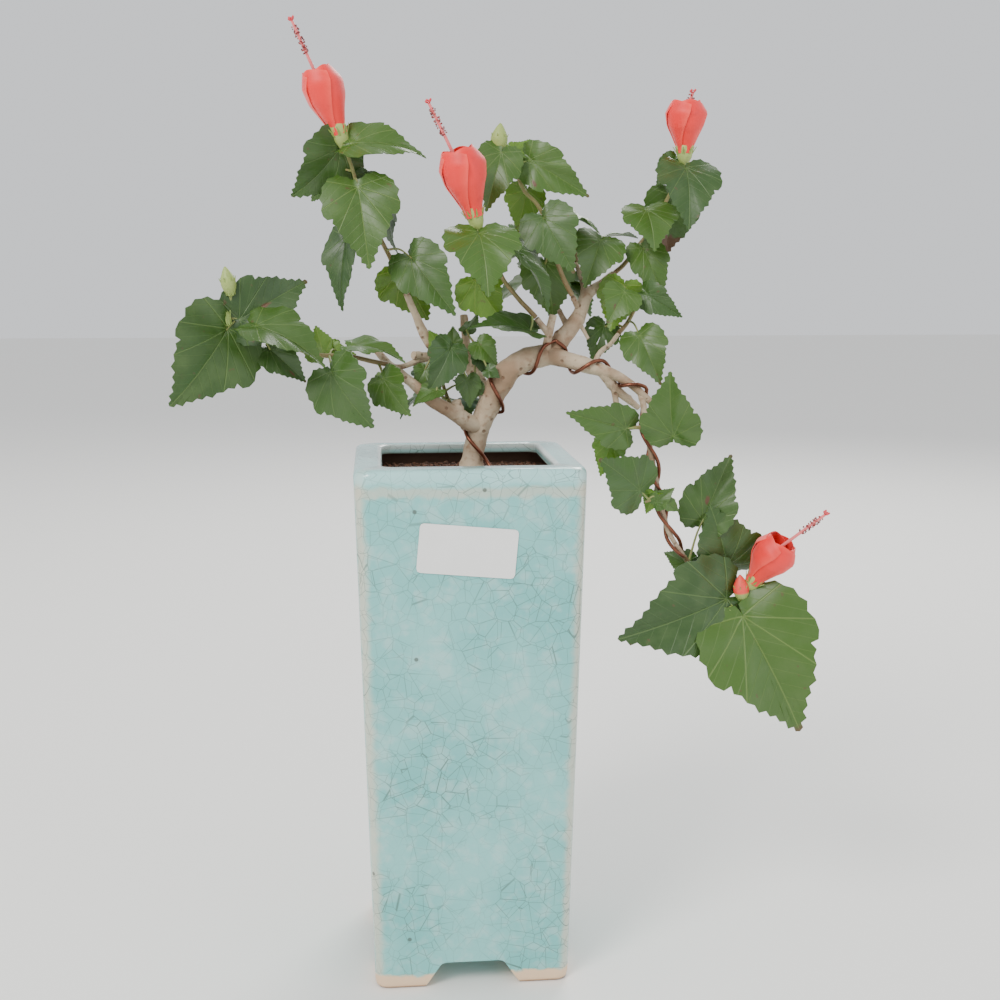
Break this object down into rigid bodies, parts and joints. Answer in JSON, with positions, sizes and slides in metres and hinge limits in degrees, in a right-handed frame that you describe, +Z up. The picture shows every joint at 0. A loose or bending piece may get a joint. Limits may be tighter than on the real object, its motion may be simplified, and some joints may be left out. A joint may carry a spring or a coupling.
{
  "type": "wax mallow bonsai in a tall square pot",
  "caption": "Wired, cascading wax mallow bonsai with lobed leaves and furled red blooms, in a tall tapered square pot with glazed sides.",
  "frame": {"origin": "bottom centre of the whole plant's and pot's bounding box, level with the flat undersides of the pot's four feet", "axes": "+Z up, the pot's front face with the label towards -Y, the cascading bough to +X"},
  "size_m": [0.3364, 0.1296, 0.5029],
  "materials": {
    "glaze": "glossy crackle glaze over stoneware, bare clay at the feet",
    "soil": "matt grains",
    "label": "matt",
    "bark": "matt bark",
    "wire": "dark copper anodised",
    "foliage": "soft satin"
  },
  "bodies": {
    "root": {"pot": "glaze", "soil": "soil", "label": "label", "trunk": "bark", "left_bough": "bark", "inner_left_bough": "bark", "left_arm": "bark", "right_bough": "bark", "cascade_bough": "bark", "hanging_shoot": "bark", "rise_twig": "bark", "fork_stub": "bark", "training_wire": "wire", "lower_wire": "wire", "left_spray": "foliage", "upper_left_spray": "foliage", "centre_left_spray": "foliage", "centre_top_spray": "foliage", "leader_spray": "foliage", "right_top_spray": "foliage", "rise_spray": "foliage", "cascade_upper_spray": "foliage", "cascade_low_spray": "foliage", "cascade_tip_spray": "foliage", "inner_left_spray": "foliage", "inner_right_spray": "foliage", "back_spray": "foliage", "back_low_spray": "foliage"}
  },
  "joints": []
}
